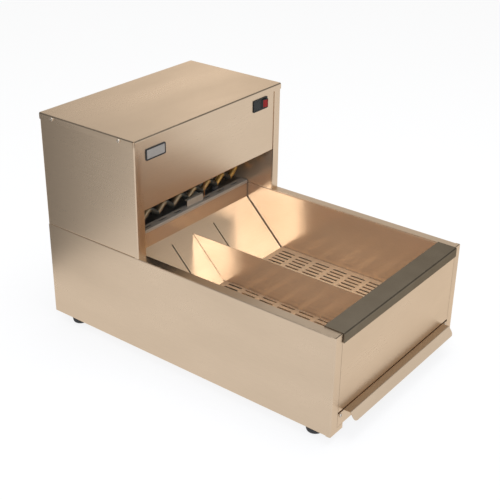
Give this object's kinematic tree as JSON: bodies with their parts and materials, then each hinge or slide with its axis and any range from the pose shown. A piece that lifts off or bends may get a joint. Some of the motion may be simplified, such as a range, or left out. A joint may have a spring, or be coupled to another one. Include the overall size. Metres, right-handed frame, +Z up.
{
  "type": "countertop chip warmer",
  "caption": "Countertop warmer with an open slotted-floor bin, a lift-out divider, a slide-out crumb tray and a rear tower that blows heated air over the food.",
  "frame": {"origin": "on the surface that the feet stand on, under the middle of the whole object", "axes": "+Z up, +Y from the open bin at the front towards the tower at the back, +X to the right seen from the front"},
  "size_m": [0.4654, 0.7436, 0.47],
  "materials": {
    "outer_steel": "brushed stainless steel, satin",
    "liner_steel": "bright stainless sheet",
    "perforated_steel": "slotted stainless sheet",
    "dark_rail": "dark grey, satin",
    "galvanised": "zinc-coated sheet, dull",
    "screw_steel": "plated, polished",
    "element_sheath": "heat-tinted sheath",
    "ceramic": "unglazed ceramic",
    "foot_rubber": "matt black",
    "black_plastic": "glossy black",
    "red_lens": "translucent red",
    "badge_metal": "blank name plate, satin with a dark border",
    "motor_shell": "black enamel",
    "wheel_metal": "bare sheet",
    "shaft_steel": "ground shaft",
    "dark_plastic": "matt black",
    "copper_tube": "drawn tube",
    "wire_sleeve": "high-temperature sleeve"
  },
  "bodies": {
    "housing": {"base_rear_panel": "outer_steel", "bottom_pan": "galvanised", "front_panel": "outer_steel", "front_rail": "dark_rail", "bin_front_wall": "liner_steel", "sloped_back": "liner_steel", "air_wall": "liner_steel", "air_ledge": "galvanised", "screen_ledges": "liner_steel", "feet": "foot_rubber", "foot_screws": "screw_steel", "foot_nuts": "screw_steel", "tower_front_panel": "outer_steel", "tower_rear_panel": "outer_steel", "top_cover": "outer_steel", "cover_screws": "screw_steel", "rear_panel_screws": "screw_steel", "plenum_back": "galvanised", "intake_deck": "galvanised", "motor_deck": "galvanised", "motor_screws": "screw_steel", "heating_element": "element_sheath", "element_rests": "ceramic", "element_bushings": "ceramic", "switch_body": "black_plastic", "badge_plate": "badge_metal", "thermostat": "dark_plastic", "thermostat_bulb": "copper_tube", "high_limit": "dark_plastic", "probe_guard": "galvanised", "terminal_block": "ceramic", "cord_gland": "dark_plastic", "wiring": "wire_sleeve", "left_side_panel": "outer_steel", "left_bin_wall": "liner_steel", "left_tray_runner": "galvanised", "left_tower_side": "outer_steel", "left_duct_side": "liner_steel", "left_intake_ring": "galvanised", "left_blower_motor": "motor_shell", "right_side_panel": "outer_steel", "right_bin_wall": "liner_steel", "right_tray_runner": "galvanised", "right_tower_side": "outer_steel", "right_duct_side": "liner_steel", "right_intake_ring": "galvanised", "right_blower_motor": "motor_shell"},
    "crumb_tray": {"crumb_tray": "liner_steel", "tray_handle": "outer_steel", "tray_handle_screws": "screw_steel"},
    "floor_screen": {"floor_screen": "perforated_steel"},
    "divider": {"divider": "liner_steel"},
    "rocker": {"switch_rocker": "black_plastic", "switch_lens": "red_lens"},
    "left_wheel": {"left_blower_wheel": "wheel_metal", "left_motor_shaft": "shaft_steel"},
    "right_wheel": {"right_blower_wheel": "wheel_metal", "right_motor_shaft": "shaft_steel"},
    "spindle": {"thermostat_spindle": "shaft_steel"}
  },
  "joints": [
    {"name": "tray_slide", "type": "slide", "parent": "housing", "child": "crumb_tray", "axis": [0, -1, 0], "range_m": [0, 0.36]},
    {"name": "screen_lift", "type": "slide", "parent": "housing", "child": "floor_screen", "axis": [0, 0, 1], "range_m": [0, 0.06]},
    {"name": "divider_lift", "type": "slide", "parent": "floor_screen", "child": "divider", "axis": [0, 0, 1], "range_m": [0, 0.07]},
    {"name": "rocker_tilt", "type": "hinge", "parent": "housing", "child": "rocker", "pos_m": [0.157, 0.11284, 0.4395], "axis": [0, 0, 1], "range_deg": [0, 16]},
    {"name": "left_wheel_spin", "type": "hinge", "parent": "housing", "child": "left_wheel", "pos_m": [-0.1035, 0.28264, 0.3], "axis": [0, 0, 1], "continuous": true},
    {"name": "right_wheel_spin", "type": "hinge", "parent": "housing", "child": "right_wheel", "pos_m": [0.1035, 0.28264, 0.3], "axis": [0, 0, 1], "continuous": true},
    {"name": "thermostat_turn", "type": "hinge", "parent": "housing", "child": "spindle", "pos_m": [0, 0.17464, 0.3812], "axis": [0, 0, 1], "range_deg": [0, 270]}
  ]
}
